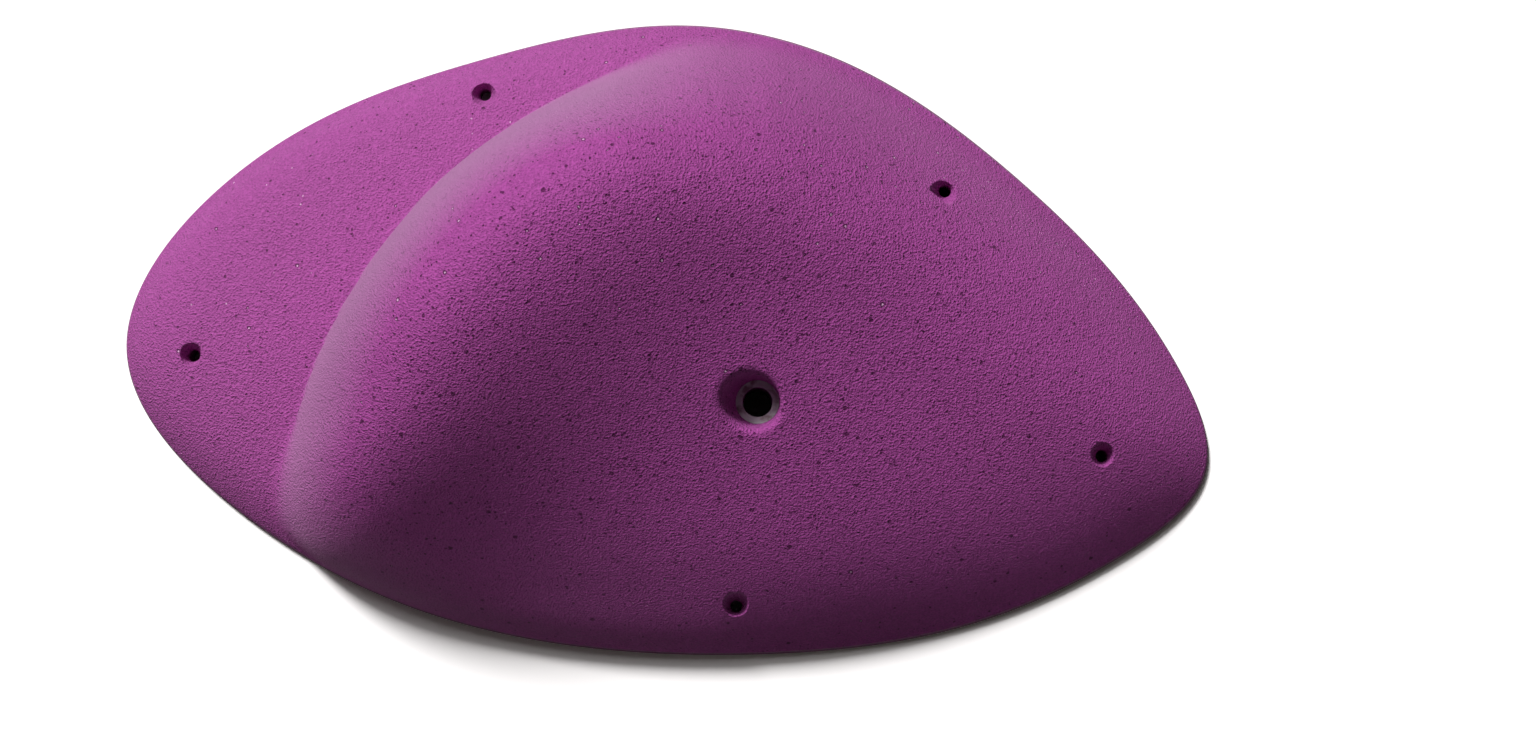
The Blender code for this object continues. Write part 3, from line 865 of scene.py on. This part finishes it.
def washerSteel():
    # a plain grey, kept darker than bare zinc plate as painted shade, with brown clouds of stain
    # and brown specks over it
    made = bpy.data.materials.new("Zinc-plated steel")
    made.use_nodes = True
    tree = made.node_tree
    shader = tree.nodes["Principled BSDF"]
    spot = putNode(tree, "ShaderNodeTexCoord").outputs["Object"]
    cloud = putNode(tree, "ShaderNodeTexNoise", Vector=spot, Scale=steel["cloudScale"],
                    Detail=steel["cloudDetail"]).outputs[0]
    stained = ramp(tree, cloud, steel["stainSpan"], steel["stainEnds"])
    colour = blendColour(tree, stained, steel["colour"], steel["stain"])
    specks = spotMask(tree, spot, steel["specks"], steel["speckShare"])
    covered = maths(tree, "MULTIPLY", specks, steel["speckCover"])
    colour = blendColour(tree, covered, colour, steel["stain"])
    tree.links.new(colour, shader.inputs["Base Color"])
    shader.inputs["Metallic"].default_value = steel["metallic"]
    shader.inputs["Specular IOR Level"].default_value = steel["specular"]
    rough = maths(tree, "MULTIPLY", stained, steel["stainRoughness"])
    tree.links.new(maths(tree, "ADD", steel["roughness"], rough), shader.inputs["Roughness"])
    grain = useGroup(tree, grainTree, Vector=spot, Size=steel["grainSize"],
                     Fine_Share=steel["fineShare"], Dimple_Share=steel["dimpleShare"])
    relief = maths(tree, "MULTIPLY", grain["Height"], steel["grainDepth"])
    bump = putNode(tree, "ShaderNodeBump", Height=relief, Distance=1 * mm)
    tree.links.new(bump.outputs[0], shader.inputs["Normal"])
    return made


holdShell.data.materials.clear()
holdShell.data.materials.append(polyurethane())
boltWasher.data.materials.append(washerSteel())
print("materials made")

studio = {
    "floorColour": (1.36, 1.33, 1.33, 1),   # to the camera: over 1, so that lit parts clip
    "floorBounce": (0.20, 0.19, 0.19, 1),   # in the light that it throws back
    "sunStrength": 3.35,
    "sunSpread": math.radians(12),
    "sunFrom": (119, 43),               # direction and height of the lamp in degrees
    "fillStrength": 0.36,
    "fillSpread": math.radians(14),
    "fillFrom": (119, 55),
    "skyStrength": 0.036,
    "skyColour": (1.0, 0.98, 0.84, 1),  # as the object sees it
    "backdrop": (1, 1, 1, 1),           # as the camera and mirrors see it
    "floorReach": 6.0,
}


def seenShare(tree):  # 1 for camera, glossy and transmission rays, which see the backdrop
    rays = putNode(tree, "ShaderNodeLightPath").outputs
    seen = maths(tree, "MAXIMUM", rays["Is Camera Ray"], rays["Is Glossy Ray"])
    return maths(tree, "MAXIMUM", seen, rays["Is Transmission Ray"])


def floorMaterial():  # matte, with one colour for the rays that see it and one for its bounce
    made = bpy.data.materials.new("Studio floor")
    made.use_nodes = True
    tree = made.node_tree
    tree.nodes.remove(tree.nodes["Principled BSDF"])
    colour = blendColour(tree, seenShare(tree), studio["floorBounce"], studio["floorColour"])
    matte = putNode(tree, "ShaderNodeBsdfDiffuse", Color=colour).outputs[0]
    tree.links.new(matte, tree.nodes["Material Output"].inputs["Surface"])
    return made


floorMesh = bpy.data.meshes.new("studioFloor")
wide = studio["floorReach"]
floorMesh.from_pydata([(-wide, -wide, 0), (wide, -wide, 0), (wide, wide, 0), (-wide, wide, 0)],
                      [], [(0, 1, 2, 3)])
studioFloor = shown("studioFloor", floorMesh)
studioFloor.data.materials.append(floorMaterial())

for part in ("sun", "fill"):            # a key light, and a weak one 12 degrees higher
    lamp = bpy.data.lights.new(part + "Light", "SUN")
    lamp.energy, lamp.angle = studio[part + "Strength"], studio[part + "Spread"]
    made = bpy.data.objects.new(part + "Light", lamp)
    bearing, climb = (math.radians(a) for a in studio[part + "From"])
    made.rotation_euler = (math.pi / 2 - climb, 0, bearing + math.pi / 2)
    bpy.context.scene.collection.objects.link(made)

world = bpy.data.worlds.new("studio")
bpy.context.scene.world = world
world.use_nodes = True
tree = world.node_tree
seen = seenShare(tree)
level = ramp(tree, seen, (0.0, 1.0), (studio["skyStrength"], 1.0))
tree.links.new(level, tree.nodes["Background"].inputs["Strength"])
tree.links.new(blendColour(tree, seen, studio["skyColour"], studio["backdrop"]),
               tree.nodes["Background"].inputs["Color"])

eye = {
    "place": (41.5 * mm, -70 * mm, 1400 * mm),     # it looks straight down; 1.4 m is a guess
    "shift": (0.0115, 0.0740),
    "lens": 65.625,
    "sensor": 36,
    "clip": (0.05, 50),
}
camera = bpy.data.cameras.new("camera")
camera.lens, camera.sensor_width, camera.sensor_fit = eye["lens"], eye["sensor"], "HORIZONTAL"
camera.shift_x, camera.shift_y = eye["shift"]
camera.clip_start, camera.clip_end = eye["clip"]
viewer = bpy.data.objects.new("camera", camera)
viewer.location = eye["place"]
bpy.context.scene.collection.objects.link(viewer)
bpy.context.scene.camera = viewer
bpy.context.scene.view_settings.view_transform = "Standard"
print("studio and camera made")
